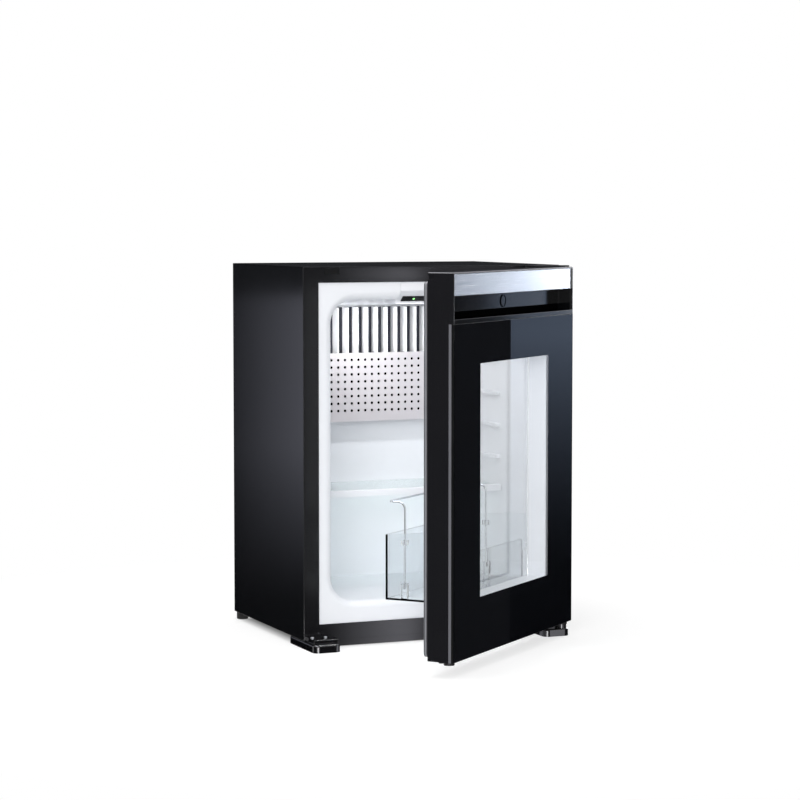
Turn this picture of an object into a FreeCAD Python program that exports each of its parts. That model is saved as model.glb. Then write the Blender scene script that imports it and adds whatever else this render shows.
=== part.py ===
import FreeCAD, Part
import math
import os

# Minibar fridge with a part-open glass door. Millimetres, X to the right, Y to the back, Z up.
# Pieces are drawn with the cabinet's front plane at Y 0 and the door shut, and are then put in place.

V = FreeCAD.Vector
os.makedirs("parts", exist_ok=True)

# Cabinet shell
cabinet_width = 410.0
shell_depth = 307.0
shell_height = 543.0
foot_height = 11.5
sheet = 1.0
panel_flange = 12.0
back_recess = 44.0
overrun = 6.0
seat_gap = 0.3

# Front frame and plinth
stile_width = 24.0
rail_height = 23.0
frame_face = 2.0
frame_skirt_depth = 12.0
frame_skirt = 2.0
plinth_setback = 1.5
plinth_wall = 3.0
plinth_flange = 15.0
plinth_floor_gap = 1.0

# Cold room
liner_wall = 2.5
cavity_side_inset = 46.5
cavity_floor_height = 54.0
cavity_top_drop = 48.0
back_foam = 19.0
wall_draft = 3.5
ceiling_fall = 18.0
cavity_corner = 36.0
cavity_back_corner = 20.0
lip_radius = 12.0
flange_overlap = 8.0

# Shelf ribs, shelf and its trim
rib_top_gap = 100.0
rib_pitch = 49.0
rib_thickness = 5.5
rib_reach = 6.0
first_rib_height = 143.0
rib_back_gap = 12.0
shelf_glass_thickness = 4.0
shelf_side_gap = 1.0
shelf_bin_gap = 7.5
trim_depth = 11.0
trim_height = 9.5
trim_top_cover = 0.8
trim_slot_depth = 7.0

# Evaporator and its perforated guard
fin_side_gap = 24.0
fin_pitch = 16.25
fin_thickness = 1.5
fin_depth = 24.0
fin_plate = 3.0
fin_height = 95.0
fin_ceiling_gap = 2.0
guard_sheet = 1.0
guard_fin_gap = 4.0
guard_side_gap = 2.0
guard_height = 105.0
guard_top_drop = 72.0
hole_pitch = 11.2
hole_diameter = 4.3
hole_first_row = 10.7
hole_margin = 5.0

# Lamp and control unit
housing_width = 103.0
housing_face_depth = 20.0
housing_face_drop = 16.0
housing_lip = 3.0
housing_depth = 66.0
housing_rise = 5.0
housing_neck_depth = 6.0
housing_wall = 2.0
flange_gap = 1.0
strip_length = 88.0
strip_width = 11.0
strip_thickness = 1.2
strip_edge = 1.0
led_diameter = 4.0
led_height = 1.6
led_offset = 25.0
button_diameter = 9.0
button_cap = 1.2
button_travel = 1.0
button_stop_gap = 0.2
button_stem = 4.0
fit_gap = 0.1
board_thickness = 1.6
board_length = 78.0
board_width = 11.0
board_standoff = 4.4
post_diameter = 3.0
switch_size = 6.0
switch_height = 1.6
lens_length = 90.0
lens_depth = 14.0
lens_height = 1.2
lens_setback = 2.0

# Door leaf
door_gap = 7.5
door_thickness = 39.0
door_rise = 10.4
door_top_drop = 2.2
door_open_angle = 40.3
glass_thickness = 3.0
mask_thickness = 0.4
carrier_thickness = 4.0
door_profile = 22.0
head_height = 70.0
window_width = 234.0
window_bottom = 79.6
window_top = 56.8
carrier_window_margin = 4.0
door_wall = 2.5
reveal_margin = 2.0
pane_thickness = 3.0
pane_seat = 0.5
end_notch_height = 6.0
end_notch_length = 10.0
end_notch_depth = 3.0
end_notch_drop = 4.0

# Door head: silver strip, grip recess and lock blank
strip_face = 29.6
strip_top_edge = 2.4
head_round_share = 0.85
strip_end_edge = 2.0
metal_strip = 2.0
recess_height = 31.8
recess_depth = 21.0
slot_depth = 7.0
slot_height = 9.0
tub_wall = 2.0
tub_end = 3.0
blank_diameter = 17.0
blank_proud = 0.6
blank_drop = 12.5
head_pocket_side = 30.0
head_pocket_wall = 3.0

# Door liner rim, seal and bin studs
rim_clearance = 12.5
rim_wall = 9.0
rim_height = 13.0
rim_lip_clearance = 14.0
rim_corner = 30.0
gasket_inset = 10.0
gasket_free_inset = 1.5
gasket_bottom_inset = 3.6
gasket_top_inset = 11.8
gasket_base_width = 16.0
gasket_neck_width = 9.0
gasket_bulb_width = 14.0
gasket_base = 2.0
gasket_neck = 1.2
gasket_corner = 6.0
stud_diameter = 6.0
stud_length = 8.0
stud_back_offset = 6.5

# Hinge
hinge_side_inset = 10.0
hinge_front_inset = 11.0
pin_diameter = 6.0
running_gap = 0.05
pin_engagement = 16.0
bush_body = 11.0
bush_flange = 15.0
bush_length = 20.0
hinge_plate = 1.8
hinge_flange_width = 23.0
hinge_flange_inset = 33.0
hinge_flange_height = 11.0
hinge_eye_radius = 9.0
cap_proud = 0.8
hinge_screw_head = 6.5
hinge_screw_height = 2.0
hinge_screw_shank = 3.2
hinge_screw_edge = 5.5
stub_lug_offset = 11.5
stub_lug_diameter = 8.0
stub_lug_height = 2.6
stub_plate = 1.2

# Feet
foot_width = 42.0
foot_front = 43.0
foot_back = 64.0
foot_corner = 9.0
block_side_inset = 4.0
block_front = 31.0
block_height = 5.7
boss_diameter = 13.0
floor_hole_diameter = 4.5
floor_hole_inset = 19.0
floor_hole_front = 38.5
foot_screw_head = 4.6
foot_screw_height = 1.5
foot_screw_setback = 10.5
foot_screw_insets = (9.0, 29.5)
rear_foot_diameter = 18.0
rear_foot_inset = 10.0

# Door bin and wire guard
bin_side_gap = 2.0
bin_wall = 2.5
bin_reach = 100.0
bin_bottom_rise = 68.6
bin_height = 92.0
bin_end_rise = 6.0
bin_back_height = 60.0
bin_back_setback = 14.0
bin_end_corner = 12.0
hook_rise = 56.0
hook_finger_drop = 13.0
hook_plate_gap = 0.5
bin_slope_start = 21.0
wire_diameter = 3.0
wire_leg_setback = 72.0
wire_foot_rise = 16.0
wire_rail_rise = 138.0
wire_bend = 10.0
wire_wall_gap = 2.6
socket_size = 9.0
socket_wall = 2.0
eyelet_rise = 78.0
eyelet_height = 7.0

# Cooling unit in the back recess
boiler_width = 62.0
boiler_depth = 36.0
boiler_drop = 173.0
boiler_side_inset = 55.0
boiler_rise = 120.0
boiler_corner = 6.0
vessel_diameter = 34.0
vessel_length = 180.0
vessel_rise = 36.0
vessel_box_gap = 34.0
vessel_end_round = 8.0
coil_diameter = 14.0
coil_runs = 4
coil_pitch = 44.0
coil_bend = 16.0
coil_span = 150.0
coil_right_inset = 45.0
coil_rise = 60.0
condenser_diameter = 16.0
condenser_rise = 96.0
condenser_right_inset = 60.0
cooler_fin_gap = 12.0
cooler_fin_pitch = 9.0
cooler_fin_size = 34.0
cooler_fin_sheet = 0.8
clip_width = 12.0
clip_wall = 1.5
box_width = 84.0
box_depth = 36.0
box_height = 58.0
box_side_inset = 22.0
box_rise = 14.0
box_wall = 2.5
inlet_width = 28.0
inlet_height = 20.0
inlet_depth = 17.0
inlet_flange = 3.0
inlet_wall = 2.0
inlet_pin_length = 12.0
inlet_pin_width = 4.0
inlet_pin_thickness = 2.0
inlet_pin_pitch = 7.0

# Places that follow from the sizes above
half_width = cabinet_width / 2
shell_low = foot_height
shell_high = foot_height + shell_height
frame_half = half_width - sheet
frame_high = shell_high - sheet
flange_front = frame_face
cavity_half = half_width - cavity_side_inset
cavity_floor = shell_low + cavity_floor_height
cavity_top = shell_high - cavity_top_drop
back_sheet = shell_depth - back_recess
cavity_back = back_sheet - back_foam
recess_front = back_sheet + sheet
door_back = -door_gap
door_front = door_back - door_thickness
door_low = shell_low + door_rise
door_high = shell_high - door_top_drop
glass_high = door_high - head_height
mask_front = door_front + glass_thickness
carrier_front = mask_front + mask_thickness
frame_front = carrier_front + carrier_thickness
window_low = door_low + window_bottom
window_high = glass_high - window_top
reveal_half = window_width / 2 + reveal_margin
reveal_low = window_low - reveal_margin
reveal_high = window_high + reveal_margin
hinge_x = half_width - hinge_side_inset
hinge_y = door_front + hinge_front_inset
bin_front = door_back + bin_reach
bin_low = door_low + bin_bottom_rise
block_top = shell_low + block_height
box_right = half_width - box_side_inset
box_left = box_right - box_width
bush_low = block_top + seat_gap


def box(x, y, z):
    """A block between three pairs of limits."""
    return Part.makeBox(x[1] - x[0], y[1] - y[0], z[1] - z[0], V(x[0], y[0], z[0]))


def span(middle, size):
    """The two limits of a size that lies evenly about a middle."""
    return (middle - size / 2, middle + size / 2)


def rod(diameter, length, start, direction):
    """A round bar from a start point along a direction."""
    return Part.makeCylinder(diameter / 2, length, start, direction)


def on_hinge(diameter, low, high):
    """A round piece on the hinge axis between two heights."""
    return rod(diameter, high - low, V(hinge_x, hinge_y, low), V(0, 0, 1))


def mirrored(shape):
    """The same piece on the other side of the cabinet."""
    return shape.mirror(V(0, 0, 0), V(1, 0, 0))


def both_sides(shape):
    """A piece together with its mirror image."""
    return shape.fuse(mirrored(shape))


def outline(y, half, low, high, corner):
    """Rounded rectangle, upright at one depth and centred on the cabinet."""
    diagonal = corner * (1 - math.sqrt(1 / 2))
    right = [V(half, y, low + corner), V(half, y, high - corner)]
    top = [V(half - corner, y, high), V(corner - half, y, high)]
    left = [V(-half, y, high - corner), V(-half, y, low + corner)]
    bottom = [V(corner - half, y, low), V(half - corner, y, low)]
    bends = [V(half - diagonal, y, high - diagonal), V(diagonal - half, y, high - diagonal),
             V(diagonal - half, y, low + diagonal), V(half - diagonal, y, low + diagonal)]
    sides = [right, top, left, bottom]
    edges = []
    for number, side in enumerate(sides):
        following = sides[(number + 1) % len(sides)]
        edges.append(Part.makeLine(side[0], side[1]))
        edges.append(Part.Arc(side[1], bends[number], following[0]).toShape())
    return Part.Wire(edges)


def slab(y, half, low, high, corner):
    """A plate with rounded corners between two depths."""
    return Part.Face(outline(y[0], half, low, high, corner)).extrude(V(0, y[1] - y[0], 0))


def ring(y, half, low, high, corner, width):
    """A flat frame of even width with rounded corners."""
    inner_corner = max(corner - width, corner / 2)
    hole = slab((y[0] - overrun, y[1] + overrun), half - width, low + width, high - width, inner_corner)
    return slab(y, half, low, high, corner).cut(hole)


def frame_ring(outer_half, outer, inner_half, inner, y):
    """A square-cornered frame between an outer and an inner rectangle."""
    plate = box((-outer_half, outer_half), y, outer)
    return plate.cut(box((-inner_half, inner_half), (y[0] - overrun, y[1] + overrun), inner))


def prism(points, x):
    """A side view in depth and height, carried across the cabinet between two limits."""
    corners = [V(x[0], y, z) for y, z in points]
    face = Part.Face(Part.makePolygon(corners + corners[:1]))
    return face.extrude(V(x[1] - x[0], 0, 0))


def bent_path(points, bend):
    """Straight runs joined by tangent arcs of one radius."""
    edges = []
    start = points[0]
    for before, corner, after in zip(points, points[1:], points[2:]):
        arriving = (corner - before).normalize()
        leaving = (after - corner).normalize()
        turn = arriving.getAngle(leaving)
        setback = bend * math.tan(turn / 2)
        inward = (leaving - arriving).normalize()
        centre = corner + inward * (bend / math.cos(turn / 2))
        first = corner - arriving * setback
        last = corner + leaving * setback
        edges.append(Part.makeLine(start, first))
        edges.append(Part.Arc(first, centre - inward * bend, last).toShape())
        start = last
    edges.append(Part.makeLine(start, points[-1]))
    return Part.Wire(edges)


def bent_rod(points, bend, diameter):
    """A round bar along a bent path."""
    profile = Part.Wire(Part.makeCircle(diameter / 2, points[0], points[1] - points[0]))
    return bent_path(points, bend).makePipeShell([profile], True, False)


def edges_at(shape, axis, value):
    """The edges that lie flat in one plane square to an axis."""
    chosen = []
    for edge in shape.Edges:
        low = getattr(edge.BoundBox, axis + "Min")
        high = getattr(edge.BoundBox, axis + "Max")
        if abs(low - value) < seat_gap / 2 and abs(high - value) < seat_gap / 2:
            chosen.append(edge)
    return chosen


def rounded_upright(block, radius):
    """A block with its four upright edges rounded."""
    bounds = [(edge, edge.BoundBox) for edge in block.Edges]
    upright = [edge for edge, bound in bounds if bound.ZLength > max(bound.XLength, seat_gap)]
    return block.makeFillet(radius, upright)


def save(name, shape):
    """Write one piece, measured from the floor midway between the two floor-screw holes."""
    placed = shape.removeSplitter()
    placed.translate(V(0, floor_hole_front, 0))
    placed.exportStep("parts/" + name + ".step")


def save_on_door(name, shape):
    """Write one piece of the door at the angle at which it stands open."""
    swung = shape.copy()
    swung.rotate(V(hinge_x, hinge_y, 0), V(0, 0, 1), door_open_angle)
    save(name, swung)


# Sheet-metal shell
side_plate = box((-half_width, sheet - half_width), (0, shell_depth), (shell_low, frame_high))
side_return = box((sheet - half_width, sheet + panel_flange - half_width), (shell_depth - sheet, shell_depth),
                  (shell_low + sheet, frame_high - sheet - panel_flange))
side_panel = side_plate.fuse(side_return)
save("side_panel_left", side_panel)
save("side_panel_right", mirrored(side_panel))

top_plate = box((-half_width, half_width), (0, shell_depth), (frame_high, shell_high))
top_return = box((-frame_half, frame_half), (shell_depth - sheet, shell_depth),
                 (frame_high - panel_flange, frame_high))
save("top_panel", top_plate.fuse(top_return))

bottom_depths = (frame_skirt_depth, shell_depth - sheet)
save("bottom_pan", box((-frame_half, frame_half), bottom_depths, (shell_low, shell_low + sheet)))
save("back_panel", box((-frame_half, frame_half), (back_sheet, recess_front), (shell_low + sheet, frame_high)))

# Moulded front frame with a skirt that plugs into the shell
frame_opening = (half_width - stile_width, (shell_low + rail_height, shell_high - rail_height))
frame_plate = frame_ring(frame_half, (shell_low, frame_high), *frame_opening, (0, frame_face))
skirt_opening = (frame_half - frame_skirt, (shell_low + frame_skirt, frame_high - frame_skirt))
skirt = frame_ring(frame_half, (shell_low, frame_high), *skirt_opening, (frame_face, frame_skirt_depth))
frame_moulding = frame_plate.fuse(skirt)

plinth_half = half_width - foot_width - block_side_inset
plinth_back = plinth_setback + plinth_wall
plinth_face = box((-plinth_half, plinth_half), (plinth_setback, plinth_back), (plinth_floor_gap, shell_low))
plinth_shelf = box((-plinth_half, plinth_half), (plinth_back, plinth_back + plinth_flange),
                   (shell_low - sheet, shell_low))
save("plinth", plinth_face.fuse(plinth_shelf))


def cold_room(offset):
    """The cold room's form, grown by an offset, with its mouth flaring into the flange plane."""
    mouth = flange_front + offset
    back = cavity_back + offset
    front_outline = outline(mouth, cavity_half + offset, cavity_floor - offset, cavity_top + offset,
                            cavity_corner + offset)
    back_outline = outline(back, cavity_half - wall_draft + offset, cavity_floor - offset,
                           cavity_top - ceiling_fall + offset, cavity_back_corner + offset)
    room = Part.makeLoft([front_outline, back_outline], True, True)
    plate = box((-frame_half, frame_half), (-overrun, mouth), (shell_low, frame_high))
    flared = room.fuse(plate).removeSplitter()
    mouth_edges = []
    for edge in edges_at(flared, "Y", mouth):
        if max(-edge.BoundBox.XMin, edge.BoundBox.XMax) < frame_half - seat_gap:
            mouth_edges.append(edge)
    return flared.makeFillet(lip_radius - offset, mouth_edges)


def ribs():
    """Rows of shelf ribs on both side walls."""
    face = cavity_half - wall_draft - rib_reach
    rows = []
    for row in range(rib_count):
        level = cavity_floor + first_rib_height + row * rib_pitch
        rows.append(box((face, half_width), (rib_front, shelf_back), span(level, rib_thickness)))
    return both_sides(rows[0].multiFuse(rows[1:]))


# White liner with its flange, lip and shelf ribs
shelf_front = bin_front + shelf_bin_gap
shelf_back = cavity_back - rib_back_gap
rib_count = int((cavity_top - rib_top_gap - cavity_floor - first_rib_height) / rib_pitch) + 1
rib_front = shelf_front + trim_depth + shelf_side_gap
flange_opening = (half_width - stile_width + flange_overlap,
                  (shell_low + rail_height - flange_overlap, shell_high - rail_height + flange_overlap))
room_space = cold_room(0)
liner_body = cold_room(liner_wall)
flange_limit = box((-flange_opening[0], flange_opening[0]), (flange_front, shell_depth), flange_opening[1])
rib_rows = ribs().common(cold_room(liner_wall / 2))
housing_half = housing_width / 2
housing_top = shell_high - rail_height - flange_gap
housing_low = cavity_top + lip_radius - housing_face_drop - housing_lip
housing_back = flange_front + housing_depth
housing_room = box((-housing_half, housing_half), (-overrun, housing_back), (housing_low, housing_top))
liner = liner_body.common(flange_limit).cut(room_space).fuse(rib_rows).cut(housing_room)
save("inner_liner", liner)

foam_half = frame_half - frame_skirt - seat_gap
foam_block = box((-foam_half, foam_half), (flange_front + liner_wall + seat_gap, back_sheet),
                 (shell_low + frame_skirt + seat_gap, frame_high - frame_skirt - seat_gap))
foam_room = box((-housing_half - seat_gap, housing_half + seat_gap), (-overrun, housing_back + seat_gap),
                (housing_low, housing_top + seat_gap))
save("foam_insulation", foam_block.cut(cold_room(liner_wall + seat_gap)).cut(foam_room))

# Evaporator: a plate with upright fins on the back wall, close under the ceiling
fin_top = cavity_top - ceiling_fall - fin_ceiling_gap
fin_low = fin_top - fin_height
fin_count = int(2 * (cavity_half - wall_draft - fin_side_gap) / fin_pitch) + 1
fin_row = fin_pitch * (fin_count - 1) / 2
plate_front = cavity_back - fin_plate
fin_front = plate_front - fin_depth
fin_plate_half = fin_row + fin_thickness
evaporator = [box((-fin_plate_half, fin_plate_half), (plate_front, cavity_back), (fin_low, fin_top))]
for number in range(fin_count):
    middle = number * fin_pitch - fin_row
    evaporator.append(box(span(middle, fin_thickness), (fin_front, cavity_back), (fin_low, fin_top)))
save("cooling_fins", evaporator[0].multiFuse(evaporator[1:]))

# Perforated guard before the lower half of the fins, with a drip ledge that runs to the back wall
guard_back = fin_front - guard_fin_gap
guard_front = guard_back - guard_sheet
guard_half = cavity_half - wall_draft - rib_reach - guard_side_gap
guard_top = fin_top - guard_top_drop + fin_ceiling_gap
guard_low = guard_top - guard_height
guard_corners = [V(-guard_half, guard_front, guard_low), V(guard_half, guard_front, guard_low),
                 V(guard_half, guard_front, guard_top), V(-guard_half, guard_front, guard_top)]
guard_face = Part.Face(Part.makePolygon(guard_corners + guard_corners[:1]))
columns = int((guard_half - hole_margin) / hole_pitch)
rows = int((guard_height - hole_first_row - hole_margin) / hole_pitch) + 1
punched = []
for column in range(-columns, columns + 1):
    for row in range(rows):
        centre = V(column * hole_pitch, guard_front, guard_top - hole_first_row - row * hole_pitch)
        punched.append(Part.Face(Part.Wire(Part.makeCircle(hole_diameter / 2, centre, V(0, 1, 0)))))
guard_plate = guard_face.cut(Part.makeCompound(punched)).Faces[0].extrude(V(0, guard_sheet, 0))
drip_ledge = box((-guard_half, guard_half), (guard_front, cavity_back), (guard_low - guard_sheet, guard_low))
save("fin_guard", guard_plate.fuse(drip_ledge))

# Glass shelf on the lowest ribs, with a moulded front edge
shelf_low = cavity_floor + first_rib_height + rib_thickness / 2
shelf_half = cavity_half - wall_draft - shelf_side_gap
trim_back = shelf_front + trim_depth
shelf_edge = trim_back - trim_slot_depth
shelf_top = shelf_low + shelf_glass_thickness
save("glass_shelf", box((-shelf_half, shelf_half), (shelf_edge, shelf_back), (shelf_low, shelf_top)))
trim_top = shelf_top + trim_top_cover
trim_bar = box((-shelf_half, shelf_half), (shelf_front, trim_back), (trim_top - trim_height, trim_top))
trim_bar = trim_bar.makeFillet(trim_top_cover, edges_at(trim_bar, "Y", shelf_front))
trim_slot = box((-half_width, half_width), (shelf_edge, trim_back + overrun), (shelf_low, shelf_top))
save("shelf_trim", trim_bar.cut(trim_slot))

# Lamp and control housing set into the liner's top lip
face_top = cavity_top + lip_radius
face_low = face_top - housing_face_drop
face_back = flange_front + housing_face_depth
neck_back = flange_front + housing_neck_depth
housing_high = face_top + housing_rise
side_view = [(flange_front, housing_top), (flange_front, face_top), (face_back, face_low),
             (face_back, housing_low), (housing_back, housing_low), (housing_back, housing_high),
             (neck_back, housing_high), (neck_back, housing_top)]
housing_block = prism(side_view, (-housing_half, housing_half))
hollow_front = face_back + housing_wall
hollow_low = housing_low + housing_wall
hollow_high = housing_high - housing_wall
hollow_view = [(hollow_front, face_low), (hollow_front, hollow_low), (housing_back + overrun, hollow_low),
               (housing_back + overrun, hollow_high), (neck_back + housing_wall, hollow_high)]
face_run = math.hypot(housing_face_depth, housing_face_drop)
face_tilt = math.degrees(math.atan2(housing_face_drop, housing_face_depth))
panel_rise = strip_width / face_run / 2 + strip_edge / housing_face_depth
panel_middle = V(0, face_back - housing_face_depth * panel_rise, face_low + housing_face_drop * panel_rise)


def on_panel(shape):
    """Turn a piece drawn flat, face up, onto the housing's slanted face."""
    turned = shape.copy()
    turned.rotate(V(0, 0, 0), V(1, 0, 0), 180 - face_tilt)
    turned.translate(panel_middle)
    return turned


inner_face = -housing_wall
board_top = inner_face - board_standoff
board_half = board_length / 2
board_low = board_top - board_thickness
board = box(span(0, board_length), span(0, board_width), (board_low, board_top))
switch = box(span(0, switch_size), span(0, switch_size), (board_top, board_top + switch_height))
board_room = box(span(0, board_length + 2 * housing_wall), span(0, board_width + 2 * housing_wall),
                 (board_low - housing_wall, inner_face))
stem_hole = rod(button_stem + 2 * fit_gap, 2 * overrun, V(0, 0, -overrun), V(0, 0, 1))
post_x = board_half - post_diameter
posts = [rod(post_diameter, board_standoff, V(x, 0, board_top), V(0, 0, 1)) for x in (-post_x, post_x)]
hollow = prism(hollow_view, (housing_wall - housing_half, housing_half - housing_wall))
housing = housing_block.cut(hollow).cut(on_panel(board_room).common(housing_block))
housing = housing.fuse([on_panel(post) for post in posts]).cut(on_panel(stem_hole))
save("control_housing", housing)
save("control_board", on_panel(board.fuse(switch)))

strip = box(span(0, strip_length), span(0, strip_width), (0, strip_thickness))
cap_hole = rod(button_diameter + 2 * fit_gap, 2 * overrun, V(0, 0, -overrun), V(0, 0, 1))
led_place = V(-led_offset, 0, 0)
led_hole = rod(led_diameter + 2 * fit_gap, 2 * overrun, led_place - V(0, 0, overrun), V(0, 0, 1))
save("control_strip", on_panel(strip.cut(cap_hole).cut(led_hole)))
led = rod(led_diameter, led_height, led_place, V(0, 0, 1))
save("status_led", on_panel(led.makeFillet(led_diameter / 4, edges_at(led, "Z", led_height))))
cap_low = button_travel + button_stop_gap
button = rod(button_diameter, button_cap, V(0, 0, cap_low), V(0, 0, 1))
button = button.makeFillet(button_cap / 3, edges_at(button, "Z", cap_low + button_cap))
stem_end = board_top + switch_height + button_travel + button_stop_gap
stem = rod(button_stem, cap_low - stem_end, V(0, 0, stem_end), V(0, 0, 1))
save("temperature_button", on_panel(button.fuse(stem)))
lens_front = face_back + lens_setback
lens_low = housing_low - lens_height
lens = box(span(0, lens_length), (lens_front, lens_front + lens_depth), (lens_low, housing_low))
save("lamp_lens", lens.makeFillet(lens_height / 3, edges_at(lens, "Z", lens_low)))

# Upper hinge: a plate over the door with a flange screwed to the top rail
plate_low = shell_high - hinge_plate
flange_right = half_width - hinge_flange_inset
flange_left = flange_right - hinge_flange_width
flange_low = shell_high - hinge_flange_height
hinge_flange = box((flange_left, flange_right), (-hinge_plate, 0), (flange_low, shell_high))
hinge_arm = box((flange_left, hinge_x), (hinge_y - hinge_eye_radius, 0), (plate_low, shell_high))
hinge_eye = on_hinge(2 * hinge_eye_radius, plate_low, shell_high)
bore_diameter = pin_diameter + 2 * running_gap
pin_hole = on_hinge(bore_diameter, shell_high - overrun, shell_high + overrun)
screw_z = flange_low + hinge_screw_head / 2 + cap_proud
hinge_screw_length = hinge_plate + frame_face + liner_wall
head_front_y = -hinge_plate - hinge_screw_height
screws = []
for x in (flange_left + hinge_screw_edge, flange_right - hinge_screw_edge):
    head = rod(hinge_screw_head, hinge_screw_height, V(x, -hinge_plate, screw_z), V(0, -1, 0))
    shank = rod(hinge_screw_shank, hinge_screw_length, V(x, -hinge_plate, screw_z), V(0, 1, 0))
    head = head.makeFillet(hinge_screw_height / 3, edges_at(head, "Y", head_front_y))
    screws.append(head.fuse(shank))
screw_group = Part.makeCompound(screws)
save("top_hinge_plate", hinge_flange.fuse([hinge_arm, hinge_eye]).cut(pin_hole).cut(screw_group))
save("top_hinge_screws", screw_group)
save("front_frame", frame_moulding.cut(screw_group))
save("top_hinge_pin", on_hinge(pin_diameter, door_high - pin_engagement, shell_high))
cap_limits = (-flange_right, -flange_left)
cap = box(cap_limits, (-cap_proud, 0), (flange_low, shell_high - hinge_plate))
save("hinge_cap", cap.makeFillet(cap_proud / 2, edges_at(cap, "Y", -cap_proud)))

# Front feet: a base under the cabinet, a step before the frame and a hole for a floor screw
foot_inner = half_width - foot_width
base = box((foot_inner, half_width), (-foot_front, foot_back), (0, shell_low))
base = rounded_upright(base, foot_corner)
base = base.makeFillet(foot_height / 4, edges_at(base, "Z", shell_low))
step_sides = (foot_inner, half_width - block_side_inset)
step = box(step_sides, (-block_front, 0), (shell_low - foot_height / 2, block_top))
front_edges = [edge for edge in edges_at(step, "Y", -block_front) if edge.BoundBox.ZMax > block_top - seat_gap]
step = step.makeFillet(block_height / 4, front_edges)
floor_hole_x = half_width - floor_hole_inset
floor_hole_start = V(floor_hole_x, -floor_hole_front, -overrun)
floor_hole = rod(floor_hole_diameter, foot_height + 2 * overrun, floor_hole_start, V(0, 0, 1))
foot = base.fuse(step).cut(floor_hole)
foot_screws = []
for inset in foot_screw_insets:
    place = V(half_width - inset, -foot_screw_setback, block_top)
    head = rod(foot_screw_head, foot_screw_height, place, V(0, 0, 1))
    head_rim = edges_at(head, "Z", block_top + foot_screw_height)
    foot_screws.append(head.makeFillet(foot_screw_height / 3, head_rim))
right_screws = Part.makeCompound(foot_screws)
save("foot_screws", Part.makeCompound([right_screws, mirrored(right_screws)]))
save("foot_front_left", mirrored(foot))
pin_low = foot_height / 4
boss = on_hinge(boss_diameter, foot_height / 2, block_top)
foot_pin_hole = on_hinge(bore_diameter, pin_low, block_top + overrun)
save("foot_front_right", foot.fuse(boss).cut(floor_hole).cut(foot_pin_hole))
save("lower_hinge_pin", on_hinge(pin_diameter, pin_low, door_low + pin_engagement))
rear_place = V(half_width - rear_foot_inset, shell_depth - rear_foot_inset, 0)
rear_foot = rod(rear_foot_diameter, foot_height, rear_place, V(0, 0, 1))
rear_foot = rear_foot.makeFillet(foot_height / 6, edges_at(rear_foot, "Z", 0))
save("rear_foot_right", rear_foot)
save("rear_foot_left", mirrored(rear_foot))

# Cooling unit: boiler, absorber, coil and condenser hung on the back sheet
unit_middle = recess_front + clip_wall + vessel_diameter / 2
boiler_left = boiler_side_inset - half_width
boiler_low = shell_low + boiler_rise
boiler_high = shell_high - boiler_drop
boiler = box((boiler_left, boiler_left + boiler_width), (recess_front, recess_front + boiler_depth),
             (boiler_low, boiler_high))
save("boiler_can", rounded_upright(boiler, boiler_corner))
vessel_z = shell_low + vessel_rise
vessel_left = box_left - vessel_box_gap - vessel_length
vessel = rod(vessel_diameter, vessel_length, V(vessel_left, unit_middle, vessel_z), V(1, 0, 0))
vessel_ends = edges_at(vessel, "X", vessel_left) + edges_at(vessel, "X", vessel_left + vessel_length)
vessel = vessel.makeFillet(vessel_end_round, vessel_ends)
coil_right = half_width - coil_right_inset
coil_left = coil_right - coil_span
coil_points = [V(coil_left, unit_middle, vessel_z)]
for run in range(coil_runs):
    level = vessel_z + coil_rise + run * coil_pitch
    ends = [V(coil_left, unit_middle, level), V(coil_right, unit_middle, level)]
    coil_points += ends if run % 2 == 0 else ends[::-1]
coil_points.append(V(coil_points[-1].x, recess_front, coil_points[-1].z))
save("absorber_coil", bent_rod(coil_points, coil_bend, coil_diameter).cut(vessel))
save("absorber_vessel", vessel)

condenser_z = boiler_high + condenser_rise
condenser_left = boiler_left + boiler_width / 2
condenser_right = half_width - condenser_right_inset
condenser_points = [V(condenser_left, unit_middle, boiler_high), V(condenser_left, unit_middle, condenser_z),
                    V(condenser_right, unit_middle, condenser_z), V(condenser_right, recess_front, condenser_z)]
save("condenser_tube", bent_rod(condenser_points, coil_bend, condenser_diameter))
clip_places = (condenser_left + coil_bend + clip_width, condenser_right - coil_bend - clip_width)
cooler_space = clip_places[1] - clip_places[0] - clip_width - 2 * cooler_fin_gap
cooler_fin_count = int(cooler_space / cooler_fin_pitch) + 1
cooler_row = (cooler_fin_count - 1) * cooler_fin_pitch / 2
cooler_fins = []
for number in range(cooler_fin_count):
    x = (condenser_left + condenser_right) / 2 + number * cooler_fin_pitch - cooler_row
    plate = box((x, x + cooler_fin_sheet), span(unit_middle, cooler_fin_size), span(condenser_z, cooler_fin_size))
    bore_start = V(x - overrun, unit_middle, condenser_z)
    cooler_fins.append(plate.cut(rod(condenser_diameter + 2 * running_gap, 2 * overrun, bore_start, V(1, 0, 0))))
save("condenser_fins", Part.makeCompound(cooler_fins))


def saddle(x, z, diameter):
    """A clip on the back sheet with a half-round seat under a tube."""
    block = box(span(x, clip_width), (recess_front, unit_middle), span(z, diameter + 2 * clip_wall))
    seat_start = V(x - clip_width, unit_middle, z)
    return block.cut(rod(diameter + 2 * running_gap, 2 * clip_width, seat_start, V(1, 0, 0)))


coil_clip_x = (coil_left + coil_right) / 2
clips = [saddle(vessel_left + vessel_length / 4, vessel_z, vessel_diameter),
         saddle(coil_left - coil_diameter - clip_width, vessel_z, vessel_diameter)]
clips += [saddle(x, condenser_z, condenser_diameter) for x in clip_places]
for run in range(coil_runs):
    clips.append(saddle(coil_clip_x, vessel_z + coil_rise + run * coil_pitch, coil_diameter))
save("unit_clips", Part.makeCompound(clips))

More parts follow.
